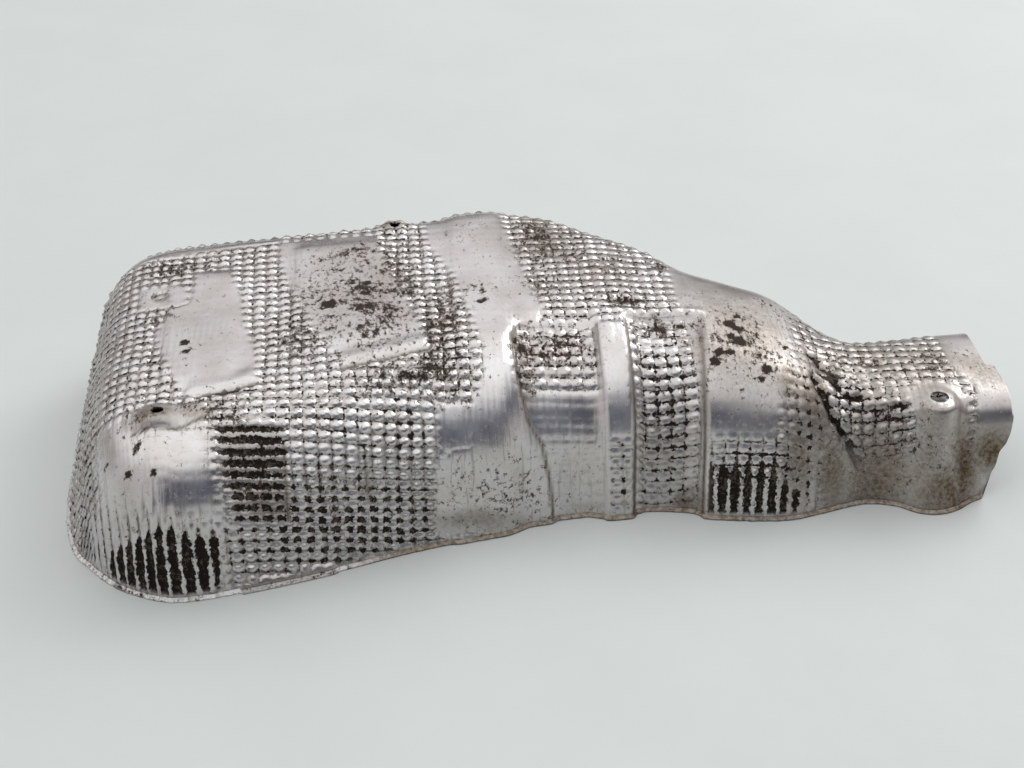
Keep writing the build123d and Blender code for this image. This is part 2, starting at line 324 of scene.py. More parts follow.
# Noises of the material: scale, and then detail and roughness where they aren't the usual ones
PATCH_NOISE = (45, 4)
FILM_NOISE = (420, 5, 0.7)
RAGGED_NOISE = (420, 3, 0.6)
UNEVEN_NOISE = (70, 3, 0.6)
CLOUD_NOISE = (90,)
SPECK_NOISE = (340, 6, 0.76)
SPECK_SHAPE = (1.0, 0.65, 1.0)  # specks of corrosion are longer across the hood
DRAWN_SHAPE = (520, 36, 1)  # streaks that the press has drawn
GHOST_NOISE = (22,)
GRAIN_NOISE = (900,)
CRINKLE_NOISE = (500, 3, 0.7)

# Ramps of the material: from and to, and then the values there where they aren't 0 and 1
PATCHES = (0.35, 0.65)
ROUGHNESS = (0.3, 0.7, 0.20, 0.30)
FILM_CLOUDS = (0.3, 0.7, 0.72, 1.06)
SHADE_AROUND = (0.45, 1.05)  # painted shade round a dimple, in the film's colour
CHANNEL_SHADE = (0.0, 1.0, 0.30, 0.50)  # painted shade in the channels, in the film's colour, from the crown to the walls
RUNS = (0.48, 0.72, 0.0, 0.45)  # film that has run down the walls
RAGGED = (0.25, 0.75, -0.30, 0.30)
BAR_RAGGED = (0.0, 1.0, 1.0, 0.7)
UNEVEN = (0.3, 0.7, 0.8, 1.1)
# edge of the grime and painted shade
GRIME_AND_SHADE_EDGE = (1.10, 1.24)
CLOUDS = (0.34, 0.66, 0.45, 1.2)
STAIN_EDGE = (0.605, 0.66)
PIT_EDGE = (0.65, 0.72)
FLANK = (0.30, 1.10)  # flank of a dimple
CUSHION = (0.0, 1.0, -0.75, -1.05)  # depth of its own groove, from the crown to the walls
GHOST_LINES = (0.45, 0.65, 0.0, 0.045)  # height of the faint lines on the flats
GHOST_PITCH = PITCH / 2  # from one of those lines to the next

# Shares in the material, and heights of its relief in millimetres
COLUMN_SHARE = 0.92  # depth of the channels between columns as a share of that between rows
CORROSION_SPECKS = 0.30
SPOT_SPECKS = 0.30
CHANNEL_SPECKS = 0.05
RIM_SPECKS = 0.07
STAIN_SHARE = 0.75
STAIN_COVER = 0.85
GRIME_AND_SHADE_COVER = 0.92
SPECULAR = 0.5
FILM_ROUGHNESS = 0.30
RIM_ROUGHNESS = 0.12
COVER_ROUGHNESS = 0.75
DRAWN = 0.16
GRAIN = 0.012
CRUST = 0.03
CRINKLE = 0.9  # of the bare rim

# Floor
FLOOR_SIZE = 14.0
FLOOR_COLOUR = (0.650, 0.685, 0.668, 1)
FLOOR_CLOUD = (0.630, 0.666, 0.648, 1)
FLOOR_NOISE = (9, 4)
FLOOR_CLOUDS = (0.3, 0.7)
FLOOR_GRAIN = (60,)
FLOOR_ROUGHNESS = (0.3, 0.7, 0.55, 0.65)

# Room: colours, and the parts of a direction's x, y and z over which one turns into the next
OVERHEAD = (1.18, 1.18, 1.19, 1)
OVERHEAD_RISE = (0.46, 0.90)
BACK = (0.92, 0.90, 0.91, 1)
BACK_HORIZON = (0.20, 0.19, 0.19, 1)
BACK_RISE = (0.20, 0.50)
FRONT = (0.10, 0.11, 0.15, 1)
FRONT_LEFT = (0.62, 0.60, 0.60, 1)
LEFT_SPAN = (0.25, 0.60)
FRONT_TO_BACK = (-0.45, 0.35)
SIDE = (0.54, 0.52, 0.52, 1)
SIDE_SPAN = (0.35, 0.75)
SIDE_FALL = (0.05, 0.40, 1.0, 0.0)
WINDOW_PLACE = Vector((1.4, 1.1, 1.5))
WINDOW_SIZE = 1.2
WINDOW_POWER = 14

# Camera
IMAGE_WIDTH = 1024
FOCAL_LENGTH = 1947  # pixels
VIEW_ELEVATION = math.radians(34)
VIEW_YAW = math.radians(5)
VIEW_DISTANCE = 1.108
VIEW_TARGET = Vector((-0.0079, -0.0180, 0.050))


def under_rays(tree, xs, ys):
    """Heights of the hollow's roof over points of the floor, and nan where there is none."""
    heights = np.full((len(xs), len(ys)), np.nan)
    up = Vector((0, 0, 1))
    for i, x in enumerate(xs):
        for j, y in enumerate(ys):
            hit = tree.ray_cast(Vector((x, y, RAY_START)), up)[0]
            if hit is not None and hit.z > FOOT:
                heights[i, j] = hit.z
    return heights


def smooth(values, sigma, axis):
    """Gaussian smoothing along one axis."""
    reach = math.ceil(3 * sigma)
    weights = np.exp(-0.5 * (np.arange(-reach, reach + 1) / sigma) ** 2)
    weights /= weights.sum()
    padding = [(0, 0)] * values.ndim
    padding[axis] = (reach, reach)
    padded = np.pad(values, padding, mode="edge")
    return np.apply_along_axis(lambda line: np.convolve(line, weights, mode="valid"), axis, padded)


def section(ys, roof, q):
    """Points (y, z) of one section at each q, and which of them lie past a cut edge."""
    found = np.nonzero(np.isfinite(roof))[0]
    heights = np.interp(np.arange(len(ys)), found, roof[found])
    spine = np.argmin(np.abs(ys - SPINE_Y))
    points = np.zeros((len(q), 2))
    missing = np.zeros(len(q), bool)
    for side, end in ((-1, found[0]), (1, found[-1])):
        places = np.arange(spine, end + side, side)
        y = ys[places]
        z = heights[places]
        arc = np.r_[0, np.cumsum(np.hypot(np.diff(y), np.diff(z)))]
        chosen = q < 0 if side < 0 else q >= 0
        distance = np.abs(q[chosen])
        past = np.maximum(distance - arc[-1], 0)
        points[chosen, 0] = np.interp(distance, arc, y) + side * past * math.sin(WALL_DRAFT)
        points[chosen, 1] = np.interp(distance, arc, z) - past * math.cos(WALL_DRAFT)
        if z[-1] > CUT_HEIGHT:
            missing[chosen] = past > 0
    return points, missing


def cross_sections(tree, ys, stations, q):
    """Lattice points over the roof, with the sheet continued where the mouth has cut it."""
    roofs = under_rays(tree, stations, ys)
    points = np.zeros((len(stations), len(q), 3))
    whole = np.zeros(len(q), int)
    for i, x in enumerate(stations):
        places, missing = section(ys, roofs[i], q)
        points[i, :, 0] = x
        points[i, :, 1:] = places
        whole[~missing] = i
    for j, last in enumerate(whole):
        run = (points[last, j] - points[last - RUN_STATIONS, j]) / RUN_STATIONS
        for i in range(last + 1, len(stations)):
            points[i, j] = points[last, j] + run * (i - last)
    return points


def extend(points):
    """The lattice points with stations added past both ends."""
    start = points[END_CLEAR]
    head = (start - points[END_CLEAR + END_EXTRA]) / END_EXTRA
    tail = (points[-1] - points[-1 - RUN_STATIONS]) / RUN_STATIONS
    before = [start + head * (END_CLEAR + k) for k in range(END_EXTRA, 0, -1)]
    after = [points[-1] + tail * k for k in range(1, MOUTH_EXTRA + 1)]
    return np.concatenate([before, points, after])


def lay_lattice():
    """Lattice over the roof of the hollow: p, q, points and normals."""
    solid = frame["nodes"][NODE].data
    corners = [vertex.co / MM for vertex in solid.vertices]
    tree = BVHTree.FromPolygons(corners, [tuple(face.vertices) for face in solid.polygons])
    low, high = (np.array(corner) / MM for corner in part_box(NODE))
    ys = np.arange(low[1] - RAY_MARGIN, high[1] + RAY_MARGIN, RAY_STEP)
    xs = np.arange(low[0], high[0], RAY_STEP)

    crown = under_rays(tree, xs, [SPINE_Y])[:, 0]
    over = np.isfinite(crown)
    arc = np.r_[0, np.cumsum(np.hypot(np.diff(xs[over]), np.diff(crown[over])))]
    p = np.arange(0, arc[-1], CELL)
    q = np.arange(round(FRONT_Q / CELL), round(BACK_Q / CELL) + 1) * CELL
    points = extend(cross_sections(tree, ys, np.interp(p, arc, xs[over]), q))
    p = CELL * np.arange(-END_EXTRA, len(p) + MOUTH_EXTRA)
    points = smooth(smooth(points, SMOOTH_P, 0), SMOOTH_Q, 1)
    normals = np.cross(np.gradient(points, axis=0), np.gradient(points, axis=1))
    normals /= np.linalg.norm(normals, axis=2, keepdims=True)
    return p, q, points, normals


p_line, q_line, roof_points, normals = lay_lattice()
P, Q = np.meshgrid(p_line, q_line, indexing="ij")
HEIGHT = roof_points[:, :, 2]


def line_distance(points):
    """Distance of each lattice point to a line through some points."""
    nearest = np.full(P.shape, np.inf)
    for (pa, qa), (pb, qb) in zip(points, points[1:]):
        dp, dq = pb - pa, qb - qa
        t = np.clip(((P - pa) * dp + (Q - qa) * dq) / (dp * dp + dq * dq), 0, 1)
        nearest = np.minimum(nearest, np.hypot(P - pa - t * dp, Q - qa - t * dq))
    return nearest


def outline_distance(outline):
    """Distance of each lattice point to an outline, positive inside it."""
    closed = outline + outline[:1]
    within = np.zeros(P.shape, bool)
    for (pa, qa), (pb, qb) in zip(closed, closed[1:]):
        if qa != qb:
            within ^= ((qa > Q) != (qb > Q)) & (P < pa + (Q - qa) / (qb - qa) * (pb - pa))
    return np.where(within, 1, -1) * line_distance(closed)


def step(distance, width):
    """0 to 1 over a smooth step of that width, centred on 0."""
    t = np.clip(distance / width + 0.5, 0, 1)
    return t * t * (3 - 2 * t)


def inside(outlines, width):
    """1 inside any of some outlines and 0 outside them, over a step of that width."""
    return np.maximum.reduce([step(outline_distance(outline), width) for outline in outlines])


def blob(p, q, reach_p, reach_q):
    """1 at a place on the lattice, falling to 0 round it."""
    return np.exp(-(((P - p) / reach_p) ** 2) - ((Q - q) / reach_q) ** 2)


def fold(points, width):
    """1 on a line through some points, falling to 0 beside it."""
    return np.exp(-((line_distance(points) / width) ** 2))


def lip(points, height, back, front):
    """A lip that rises slowly from behind a line along p and falls away in front of it."""
    places, levels = zip(*points)
    ahead = np.interp(P, places, levels) - Q
    within = step(np.minimum(P - places[0], places[-1] - P), PITCH)
    return height * within * step(ahead + back / 2, back) * (1 - step(ahead - front / 2, front))


def gather(places, base=0.0):
    """The strongest of some places at each lattice point."""
    total = np.full(P.shape, base)
    for *place, strength in places:
        total = np.maximum(total, strength * blob(*place))
    return total


def waves(seed):
    """Slow waves over the lattice, from -1 to 1."""
    draw = np.random.RandomState(seed)
    total = np.zeros(P.shape)
    for length in WAVE_LENGTHS:
        for _ in range(WAVES_EACH):
            turn, shift = draw.uniform(0, 2 * np.pi, 2)
            total += np.sin(2 * np.pi * (P * np.cos(turn) + Q * np.sin(turn)) / length + shift) * length
    return total / np.abs(total).max()


def lay_rows():
    """Lattice places that the rows of dimples are counted by."""
    p_seed, q_seed = ROW_SEEDS
    rows_p = P + ROW_WAVES * waves(p_seed) + END_CROWDING * np.minimum(P - END_CROWDED, 0)
    crowding = FRONT_CROWDING * step(FRONT_CROWDED_P - P, FRONT_CROWDED_FADE)
    rows_q = Q + ROW_WAVES * waves(q_seed) + crowding * np.minimum(Q - FRONT_CROWDED_Q, 0)
    return rows_p, rows_q


def emboss():
    """Height of the embossing over its channels, from 0 to 1 in a common dimple."""
    along = 0.5 + 0.5 * np.cos(2 * np.pi * rows_p / PITCH)
    across = 0.5 + 0.5 * np.cos(2 * np.pi * rows_q / PITCH)
    share = np.random.RandomState(DIMPLE_SEED).uniform(*EMBOSS_SPREAD, (EMBOSS_DRAWS, EMBOSS_DRAWS))
    own = share[np.round(rows_p / PITCH).astype(int), np.round(rows_q / PITCH).astype(int)]
    return own * (along * (across + BAR_HEIGHT * barred * (1 - across))) ** EMBOSS_POWER


def lay_hem():
    """1 on the folded hem and 0 elsewhere."""
    return step(HEM_HEIGHT - HEIGHT, CELL) * step(np.minimum(P - HEM_START, HEM_END - P), CELL)


def flatten():
    """Share of the embossing that the press has flattened."""
    flat = np.maximum(step(FOOT_STRIP - HEIGHT, FOOT_STRIP), hem)
    for name, outline in FLATS.items():
        within = step(outline_distance(outline), SOFT_EDGES.get(name, FLAT_EDGE))
        flat = np.maximum(flat, FLATNESS.get(name, 1.0) * within)
    for outline, _, width in FORMS:
        flat = np.maximum(flat, step(EDGE_PLAIN / 2 - np.abs(outline_distance(outline)), width))
    return flat


def press_forms():
    """Height of the pressed forms, the folds and the lips over the solid's own form."""
    relief = WAVES * waves(SHEET_SEED) + HEM_WIDTH * hem
    for outline, height, width in FORMS:
        relief += height * step(outline_distance(outline), width)
    relief -= DARK_DEPTH * inside([DARK_PANEL], DARK_EDGE)
    for *place, depth in HOLLOWS:
        relief -= depth * blob(*place)
    for points, depth, width, _ in CREASES:
        relief -= depth * fold(points, width)
    for points, height, width in RIDGES:
        relief += height * fold(points, width)
    for shape in LIPS:
        relief += lip(*shape)
    return relief


def lay_film_and_shade():
    """Share of film, and of painted shade along the creases, on each lattice point."""
    low = WALL_FILM * step(WALL_FILM_TOP - HEIGHT, WALL_FILM_TOP) * (Q < 0)
    creased = np.maximum.reduce([fold(points, width) for points, _, width, _ in CREASES])
    return np.maximum.reduce([gather(FILM), low, CREASE_FILM_AND_SHADE * creased, HEM_FILM * hem, DARK_FILM * dark])


def lay_grime_and_shade():
    """How full of grime and painted shade the channels are at each lattice point."""
    creased = np.maximum.reduce([dirt_and_shade * fold(points, width) for points, _, width, dirt_and_shade in CREASES])
    filled = BAR_GRIME_AND_SHADE * inside(BAR_FILLS, BAR_FADE)
    return np.maximum.reduce([gather(GRIME_AND_SHADE, GRIME_AND_SHADE_BASE), DARK_GRIME * dark, creased, filled])


def lay_spots():
    """1 in the middle of the single spots."""
    return np.maximum.reduce([step(radius - np.hypot(P - p, Q - q), radius) for p, q, radius in SPOTS])


def open_field():
    """Field that is positive on the sheet: before the mouth and outside each hole."""
    before = [(-FAR, -FAR), (-FAR, FAR), (MOUTH[0][0], FAR)]
    field = outline_distance(before + MOUTH + [(MOUTH[-1][0], -FAR)])
    for mount in MOUNTS:
        x, y, _ = (value / MM for value in mount["pos_m"])
        away = np.hypot(roof_points[:, :, 0] - x, roof_points[:, :, 1] - y)
        field = np.minimum(field, away - mount["dims"]["r_mm"])
    return field


rows_p, rows_q = lay_rows()
barred = inside(BARS, BAR_EDGE)
dark = inside([DARK_PANEL], DARK_FADE)
wall = step(WALL_SLOPE - normals[:, :, 2], WALL_TURN)
hem = lay_hem()
flat = flatten()
calm = gather(CALM)
bump = emboss()
press = EMBOSS * (1 + WALL_EMBOSS * wall) * (1 - calm) * (1 - (1 - GHOST) * flat)
relief = press * (bump - bump.mean()) + press_forms()
openings = open_field()

# What each vertex carries: its place, its place in the rows, and the layers that the material reads
LAYERS = {
    "flat": flat,
    "pressed": (1 - calm) * (1 - flat),
    "corrosion": gather(CORROSION),
    "spots": lay_spots(),
    "film_and_shade": lay_film_and_shade(),
    "grime_and_shade": lay_grime_and_shade(),
    "rows": np.maximum(gather(FULL_ROWS), dark),
    "bars": barred,
    "spotted": gather(SPOTTED),
    "wall": wall,
    "rim": np.zeros(P.shape),
}
ROWS_AT = 3  # first column of the place in the rows
LAYERS_AT = 5  # and of the layers
COLUMNS = {name: LAYERS_AT + place for place, name in enumerate(LAYERS)}


def carry(points):
    """Lattice points with all that their vertices carry."""
    return np.concatenate([points, np.stack([rows_p, rows_q, *LAYERS.values()], axis=2)], axis=2)


def trim(values, field):
    """Rows of values and faces of the part of the lattice where the field is positive."""
    keep = field > 0
    index = {}
    rows = []
    faces = []

    def place(key, make):
        if key not in index:
            index[key] = len(rows)
            rows.append(make())
        return index[key]

    def crossing(a, b):
        share = field[a] / (field[a] - field[b])
        return place((min(a, b), max(a, b)), lambda: values[a] + share * (values[b] - values[a]))

    for i in range(field.shape[0] - 1):
        for j in range(field.shape[1] - 1):
            ring = [(i, j), (i + 1, j), (i + 1, j + 1), (i, j + 1)]
            face = []
            for a, b in zip(ring, ring[1:] + ring[:1]):
                if keep[a]:
                    face.append(place(a, lambda: values[a]))
                if keep[a] != keep[b]:
                    face.append(crossing(a, b))
            if len(face) > 2:
                faces.append(face)
    return np.array(rows), faces


def loops(faces):
    """Loops of open edges, longest first, in the direction of their faces."""
    edges = {(a, b) for face in faces for a, b in zip(face, face[1:] + face[:1])}
    onward = {a: b for a, b in edges if (b, a) not in edges}
    found = []
    while onward:
        start, here = onward.popitem()
        loop = [start]
        while here != start:
            loop.append(here)
            here = onward.pop(here)
        found.append(loop)
    return sorted(found, key=len, reverse=True)


def zip_loops(first, second, points):
    """Triangles between two loops that run the same way round."""
    nearest = np.argmin(np.linalg.norm(points[second] - points[first[0]], axis=1))
    second = second[nearest:] + second[:nearest]
    a, b = first + first[:1], second + second[:1]
    i = j = 0
    triangles = []
    while i < len(first) or j < len(second):
        ahead_a = np.linalg.norm(points[a[min(i + 1, len(first))]] - points[b[j]])
        ahead_b = np.linalg.norm(points[b[min(j + 1, len(second))]] - points[a[i]])
        if j == len(second) or (i < len(first) and ahead_a <= ahead_b):
            triangles.append([a[i + 1], a[i], b[j]])
            i += 1
        else:
            triangles.append([b[j], b[j + 1], a[i]])
            j += 1
    return triangles


def turn_rim(rows, loop):
    """Rows and faces of the rim turned outwards from a loop of the outside skin, and its last loop."""
    ahead = rows[np.roll(loop, -LIP_SPAN), :2] - rows[np.roll(loop, LIP_SPAN), :2]
    out = np.stack([ahead[:, 1], -ahead[:, 0]], axis=1)
    out /= np.linalg.norm(out, axis=1, keepdims=True)
    foot = np.clip((LIP_FADE - rows[loop, 2]) / (LIP_FADE - 2 * LIP_TOP), 0, 1)[:, None]
    faces = []
    last = loop
    for width, height in LIP:
        line = rows[loop].copy()
        line[:, :2] += foot * width * out
        line[:, 2:3] += foot * (height - line[:, 2:3])
        bare = step(BARE_END - line[:, ROWS_AT], BARE_FADE)
        dirty = foot[:, 0] * RIM_FILM * (1 - bare)
        line[:, COLUMNS["rim"]] = foot[:, 0] * bare
        line[:, COLUMNS["film_and_shade"]] = np.maximum(line[:, COLUMNS["film_and_shade"]], dirty)
        ring = list(range(len(rows), len(rows) + len(loop)))
        for k, here in enumerate(ring):
            after = (k + 1) % len(ring)
            faces.append([last[after], last[k], here, ring[after]])
        rows = np.concatenate([rows, line])
        last = ring
    return rows, faces, last


def close_holes(rows, outer_loops, inner_loops):
    """Faces of the walls of the fixing holes, whose edges are made round."""
    faces = []
    for mount in MOUNTS:
        axis = np.array(mount["pos_m"][:2]) / MM
        pair = []
        for found in (outer_loops, inner_loops):
            loop = min(found, key=lambda loop: np.linalg.norm(rows[loop, :2].mean(axis=0) - axis))
            away = rows[loop, :2] - axis
            away /= np.linalg.norm(away, axis=1, keepdims=True)
            rows[loop, :2] = axis + away * mount["dims"]["r_mm"]
            pair.append(loop)
        faces += zip_loops(*pair, rows[:, :3])
    return faces


def build_sheet():
    """One closed mesh: outside skin, turned rim, inside skin and the walls of the holes."""
    outer = roof_points + (SHEET + relief)[:, :, None] * normals
    inner = roof_points + relief[:, :, None] * normals
    coarse = (slice(None, None, INSIDE_STEP), slice(None, None, INSIDE_STEP))
    rows, faces = trim(carry(outer), np.minimum(outer[:, :, 2] - LIP_TOP, openings))
    outer_loops = loops(faces)
    rows, rim_faces, rim = turn_rim(rows, outer_loops[0])
    inner_rows, inner_faces = trim(carry(inner)[coarse], np.minimum(inner[:, :, 2], openings)[coarse])
    inner_faces = [face[::-1] for face in inner_faces]
    inner_loops = [[len(rows) + k for k in loop[::-1]] for loop in loops(inner_faces)]
    faces += rim_faces + [[len(rows) + k for k in face] for face in inner_faces]
    rows = np.concatenate([rows, inner_rows])
    faces += zip_loops(rim, inner_loops[0], rows[:, :3])
    faces += close_holes(rows, outer_loops[1:], inner_loops[1:])
    return rows, faces


def make_piece(name, rows, faces):
    """Object of a mesh, with its rows of dimples as a UV map and its layers as attributes."""
    mesh = bpy.data.meshes.new(name)
    mesh.from_pydata(rows[:, :3] * MM, [], faces)
    for title, column in COLUMNS.items():
        values = rows[:, column].astype(np.float32)
        mesh.attributes.new(title, "FLOAT", "POINT").data.foreach_set("value", values)
    corner = np.zeros(len(mesh.loops), int)
    mesh.loops.foreach_get("vertex_index", corner)
    layer = mesh.uv_layers.new(name="lattice")
    layer.data.foreach_set("uv", (rows[corner, ROWS_AT:LAYERS_AT] * MM).astype(np.float32).ravel())
    mesh.polygons.foreach_set("use_smooth", np.ones(len(mesh.polygons), bool))
    mesh.set_sharp_from_angle(angle=SHARP_EDGE)
    piece = bpy.data.objects.new(name, mesh)
    bpy.context.scene.collection.objects.link(piece)
    return piece


class Graph:
    """Short calls to add nodes to a tree and join them."""

    MIX_SOCKETS = (0, 6, 7)  # factor and the two colours of a mix node
    MIX_RESULT = 2

    def __init__(self, tree):
        self.tree = tree

    def join(self, source, socket):
        self.tree.links.new(source, socket)

    def fill(self, socket, value):
        """Join a socket to another one, or set it to a plain value."""
        if isinstance(value, bpy.types.NodeSocket):
            self.join(value, socket)
        else:
            socket.default_value = value

    def node(self, kind, inputs=(), **settings):
        node = self.tree.nodes.new(kind)
        for name, value in settings.items():
            setattr(node, name, value)
        for name, value in dict(inputs).items():
            self.fill(node.inputs[name], value)
        return node

    def layer(self, name):
        return self.node("ShaderNodeAttribute", attribute_name=name).outputs["Fac"]

    def math(self, operation, *values):
        """One operation on a value, or carried on over several."""
        result = values[0]
        for value in values[1:] or (0.0,):
            result = self.node("ShaderNodeMath", {0: result, 1: value}, operation=operation).outputs[0]
        return result

    def add(self, *values):
        return self.math("ADD", *values)

    def multiply(self, *values):
        return self.math("MULTIPLY", *values)

    def rest(self, value):
        """What is left of 1."""
        return self.math("SUBTRACT", 1.0, value)

    def far(self, a, b):
        """Distance of a place (a, b) from 0."""
        return self.math("SQRT", self.add(self.multiply(a, a), self.multiply(b, b)))

    def ramp(self, value, low, high, start=0.0, end=1.0):
        inputs = {"Value": value, "From Min": low, "From Max": high, "To Min": start, "To Max": end}
        return self.node("ShaderNodeMapRange", inputs, interpolation_type="SMOOTHSTEP").outputs["Result"]

    def blend(self, factor, a, b):
        inputs = {"Value": factor, "To Min": a, "To Max": b}
        return self.node("ShaderNodeMapRange", inputs).outputs["Result"]

    def noise(self, place, scale, detail=3.0, roughness=0.55):
        inputs = {"Vector": place, "Scale": scale, "Detail": detail, "Roughness": roughness}
        return self.node("ShaderNodeTexNoise", inputs).outputs["Fac"]

    def scaled(self, place, shape):
        return self.node("ShaderNodeMapping", {"Vector": place, "Scale": shape}).outputs["Vector"]

    def split(self, place):
        """The x, y and z of a place."""
        return self.node("ShaderNodeSeparateXYZ", {"Vector": place}).outputs

    def colour(self, factor, a, b):
        node = self.node("ShaderNodeMix", data_type="RGBA")
        for socket, value in zip(self.MIX_SOCKETS, (factor, a, b)):
            self.fill(node.inputs[socket], value)
        return node.outputs[self.MIX_RESULT]


def new_material(name):
    """A material, its graph and the inputs of its shader."""
    material = bpy.data.materials.new(name)
    material.use_nodes = True
    return material, Graph(material.node_tree), material.node_tree.nodes["Principled BSDF"].inputs


def channels(graph, lattice):
    """From 0 on top of a dimple to 1 beside it: as it is pressed, as painted shade lies round it, and as
    grime and painted shade lie round it.
    """
    place = graph.split(lattice)
    half_pitches = 2 / (PITCH * MM)
    along = graph.math("PINGPONG", graph.multiply(place["X"], half_pitches), 1.0)
    turns = graph.multiply(place["Y"], half_pitches)
    shift = graph.multiply(graph.layer("wall"), GRIME_AND_SHADE_SHIFT)
    above = graph.math("PINGPONG", graph.math("SUBTRACT", turns, shift), 1.0)
    columns = graph.multiply(along, graph.rest(graph.layer("rows")), COLUMN_SHARE)
    unbarred = graph.rest(graph.layer("bars"))
    pressed_rows = graph.multiply(graph.math("PINGPONG", turns, 1.0), unbarred)
    grime_and_shade_rows = graph.multiply(above, unbarred)
    lines = graph.math("MAXIMUM", columns, grime_and_shade_rows)
    crossings = graph.math("MINIMUM", along, above)
    between = graph.blend(graph.layer("spotted"), lines, crossings)
    return graph.far(columns, pressed_rows), graph.far(columns, grime_and_shade_rows), between


def grime_and_shade_cover(graph, place, between, embossed):
    """Share of grime and painted shade, which fill the channels to a ragged edge."""
    ragged = graph.ramp(graph.noise(place, *RAGGED_NOISE), *RAGGED)
    ragged = graph.multiply(ragged, graph.ramp(graph.layer("bars"), *BAR_RAGGED))
    uneven = graph.ramp(graph.noise(place, *UNEVEN_NOISE), *UNEVEN)
    filled = graph.add(between, ragged, graph.multiply(graph.layer("grime_and_shade"), uneven))
    return graph.multiply(graph.ramp(filled, *GRIME_AND_SHADE_EDGE), embossed)


def corrode(graph, place, between, embossed):
    """Shares of stain and of pits: specks that thicken with the layer and gather in the channels."""
    clouds = graph.ramp(graph.noise(place, *CLOUD_NOISE), *CLOUDS)
    specks = graph.add(
        graph.noise(graph.scaled(place, SPECK_SHAPE), *SPECK_NOISE),
        graph.multiply(graph.layer("corrosion"), clouds, CORROSION_SPECKS),
        graph.multiply(graph.layer("spots"), SPOT_SPECKS),
        graph.multiply(between, embossed, CHANNEL_SPECKS),
        graph.multiply(graph.layer("rim"), RIM_SPECKS),
    )
    return graph.ramp(specks, *STAIN_EDGE), graph.ramp(specks, *PIT_EDGE)


def film_and_shade_cover(graph, place, shade_around, embossed, drawn):
    """Share of film and painted shade: film where it lies and in runs down the walls, painted shade in the
    channels.
    """
    wall = graph.layer("wall")
    lying = graph.multiply(graph.layer("film_and_shade"), graph.ramp(graph.noise(place, *FILM_NOISE), *FILM_CLOUDS))
    channel_shade = graph.multiply(graph.ramp(shade_around, *SHADE_AROUND), embossed, graph.ramp(wall, *CHANNEL_SHADE))
    run = graph.multiply(wall, graph.ramp(drawn, *RUNS))
    return graph.math("MAXIMUM", lying, channel_shade, run)


def metal_colour(graph, patches, film_and_shade, grime_and_shade, stain, pit):
    """Dull and clean patches and bare edges, then the film and the grime, both also painted shade, and the
    corrosion.
    """
    metal = graph.colour(graph.ramp(patches, *PATCHES), DULL, CLEAN)
    metal = graph.colour(graph.layer("rim"), metal, BARE_EDGE)
    metal = graph.colour(film_and_shade, metal, FILM_AND_SHADE_COLOUR)
    metal = graph.colour(grime_and_shade, metal, GRIME_AND_SHADE_COLOUR)
    metal = graph.colour(graph.multiply(stain, STAIN_SHARE), metal, STAIN_COLOUR)
    return graph.colour(pit, metal, PIT_COLOUR)


def fine_relief(graph, place, lattice, pressed, drawn, stain):
    """Cushions of the dimples, drawn streaks, faint lines, grain, crust and the crinkled rim."""
    deep = graph.ramp(graph.layer("wall"), *CUSHION)
    turns = graph.multiply(graph.split(lattice)["X"], 2 * math.pi / (GHOST_PITCH * MM))
    lines = graph.math("SINE", turns)
    faint = graph.ramp(graph.noise(place, *GHOST_NOISE), *GHOST_LINES)
    return graph.add(
        graph.multiply(graph.ramp(pressed, *FLANK), graph.layer("pressed"), deep),
        graph.multiply(drawn, DRAWN),
        graph.multiply(lines, graph.layer("flat"), faint),
        graph.multiply(graph.noise(place, *GRAIN_NOISE), GRAIN),
        graph.multiply(stain, CRUST),
        graph.multiply(graph.noise(place, *CRINKLE_NOISE), graph.layer("rim"), CRINKLE),
    )


def aluminium():
    """Embossed sheet with its film, grime and corrosion, and painted shade in its channels and creases."""
    material, graph, shader = new_material("embossed_aluminium")
    place = graph.node("ShaderNodeTexCoord").outputs["Object"]
    lattice = graph.node("ShaderNodeUVMap", uv_map="lattice").outputs["UV"]
    embossed = graph.rest(graph.layer("flat"))
    drawn = graph.noise(graph.scaled(lattice, DRAWN_SHAPE), 1.0)
    patches = graph.noise(place, *PATCH_NOISE)
    pressed, shade_around, between = channels(graph, lattice)
    grime_and_shade = grime_and_shade_cover(graph, place, between, embossed)
    stain, pit = corrode(graph, place, between, embossed)
    film_and_shade = film_and_shade_cover(graph, place, shade_around, embossed, drawn)
    graph.join(metal_colour(graph, patches, film_and_shade, grime_and_shade, stain, pit), shader["Base Color"])

    covered = graph.math("MAXIMUM", graph.multiply(stain, STAIN_COVER), graph.multiply(grime_and_shade, GRIME_AND_SHADE_COVER))
    bare = graph.rest(covered)
    graph.join(bare, shader["Metallic"])
    graph.join(graph.multiply(bare, SPECULAR), shader["Specular IOR Level"])
    rough = graph.add(
        graph.ramp(patches, *ROUGHNESS),
        graph.multiply(film_and_shade, FILM_ROUGHNESS),
        graph.multiply(graph.layer("rim"), RIM_ROUGHNESS),
    )
    graph.join(graph.math("MAXIMUM", rough, graph.multiply(covered, COVER_ROUGHNESS)), shader["Roughness"])
    height = fine_relief(graph, place, lattice, pressed, drawn, stain)
    bump = graph.node("ShaderNodeBump", {"Strength": 1.0, "Distance": MM, "Height": height})
    graph.join(bump.outputs["Normal"], shader["Normal"])
    return material


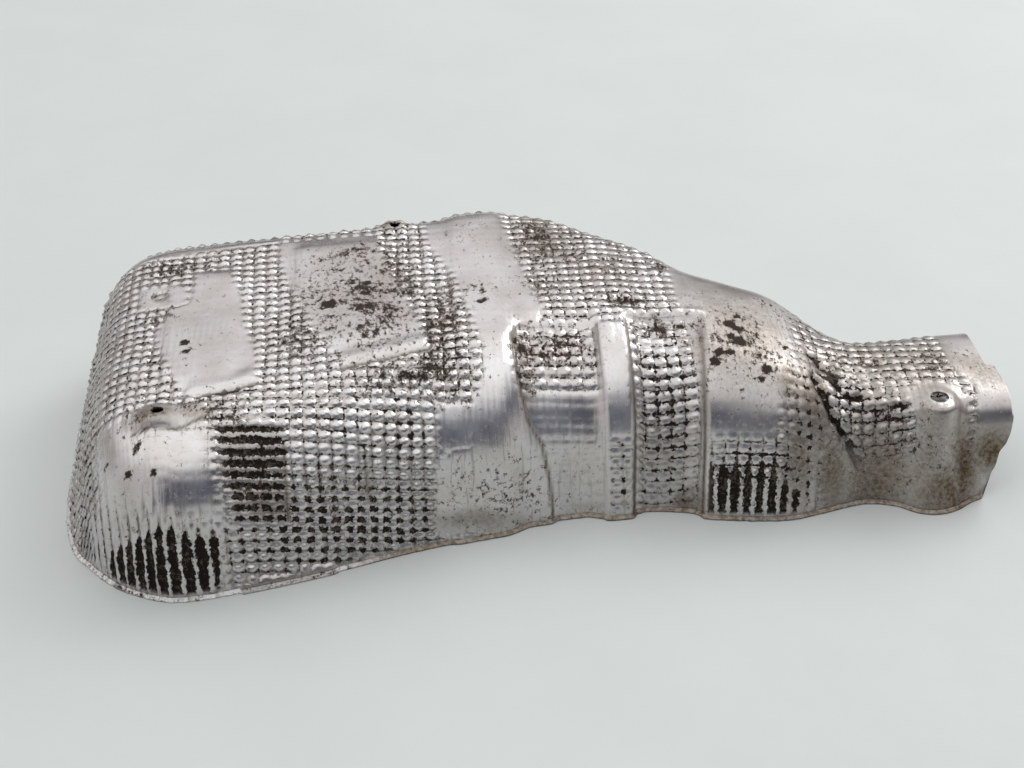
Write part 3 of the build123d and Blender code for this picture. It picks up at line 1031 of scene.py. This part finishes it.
def make_floor():
    """Wide pale table, slightly clouded."""
    half = FLOOR_SIZE / 2
    corners = [(-half, -half, 0), (half, -half, 0), (half, half, 0), (-half, half, 0)]
    mesh = bpy.data.meshes.new("floor")
    mesh.from_pydata(corners, [], [(0, 1, 2, 3)])
    material, graph, shader = new_material("pale_table")
    place = graph.node("ShaderNodeTexCoord").outputs["Object"]
    clouded = graph.ramp(graph.noise(place, *FLOOR_NOISE), *FLOOR_CLOUDS)
    graph.join(graph.colour(clouded, FLOOR_COLOUR, FLOOR_CLOUD), shader["Base Color"])
    graph.join(graph.ramp(graph.noise(place, *FLOOR_GRAIN), *FLOOR_ROUGHNESS), shader["Roughness"])
    mesh.materials.append(material)
    floor = bpy.data.objects.new("floor", mesh)
    bpy.context.scene.collection.objects.link(floor)
    return floor


def light_world():
    """A soft room: bright overhead and behind the object, dark and cool in front, dimmer low at the sides."""
    world = bpy.data.worlds.new("studio")
    bpy.context.scene.world = world
    world.use_nodes = True
    graph = Graph(world.node_tree)
    direction = graph.split(graph.node("ShaderNodeTexCoord").outputs["Generated"])
    up = direction["Z"]
    back = graph.colour(graph.ramp(up, *BACK_RISE), BACK_HORIZON, BACK)
    left = graph.ramp(graph.multiply(direction["X"], -1.0), *LEFT_SPAN)
    front = graph.colour(left, FRONT, FRONT_LEFT)
    room = graph.colour(graph.ramp(direction["Y"], *FRONT_TO_BACK), front, back)
    side = graph.ramp(graph.math("ABSOLUTE", direction["X"]), *SIDE_SPAN)
    room = graph.colour(graph.multiply(side, graph.ramp(up, *SIDE_FALL)), room, SIDE)
    room = graph.colour(graph.ramp(up, *OVERHEAD_RISE), room, OVERHEAD)
    background = world.node_tree.nodes["Background"].inputs
    graph.join(room, background["Color"])
    background["Strength"].default_value = 1.0


def light_window():
    """One soft lamp, behind the object and to its right, that faces it."""
    data = bpy.data.lights.new("window_light", "AREA")
    data.size = WINDOW_SIZE
    data.energy = WINDOW_POWER
    lamp = bpy.data.objects.new("window_light", data)
    lamp.location = WINDOW_PLACE
    lamp.rotation_euler = (-WINDOW_PLACE).to_track_quat("-Z", "Y").to_euler()
    bpy.context.scene.collection.objects.link(lamp)


def aim_camera():
    """Camera at the photograph's viewing angle."""
    forward = Vector(
        (
            math.sin(VIEW_YAW) * math.cos(VIEW_ELEVATION),
            math.cos(VIEW_YAW) * math.cos(VIEW_ELEVATION),
            -math.sin(VIEW_ELEVATION),
        )
    )
    data = bpy.data.cameras.new("camera")
    data.lens = FOCAL_LENGTH / IMAGE_WIDTH * data.sensor_width
    camera = bpy.data.objects.new("camera", data)
    camera.location = VIEW_TARGET - VIEW_DISTANCE * forward
    camera.rotation_euler = forward.to_track_quat("-Z", "Y").to_euler()
    bpy.context.scene.collection.objects.link(camera)
    bpy.context.scene.camera = camera


sheet = make_piece("heat_shield_sheet", *build_sheet())
sheet.data.materials.append(aluminium())
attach(sheet, "root")
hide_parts(NODE)

make_floor()
light_world()
light_window()
aim_camera()
bpy.context.scene.view_settings.view_transform = "Standard"
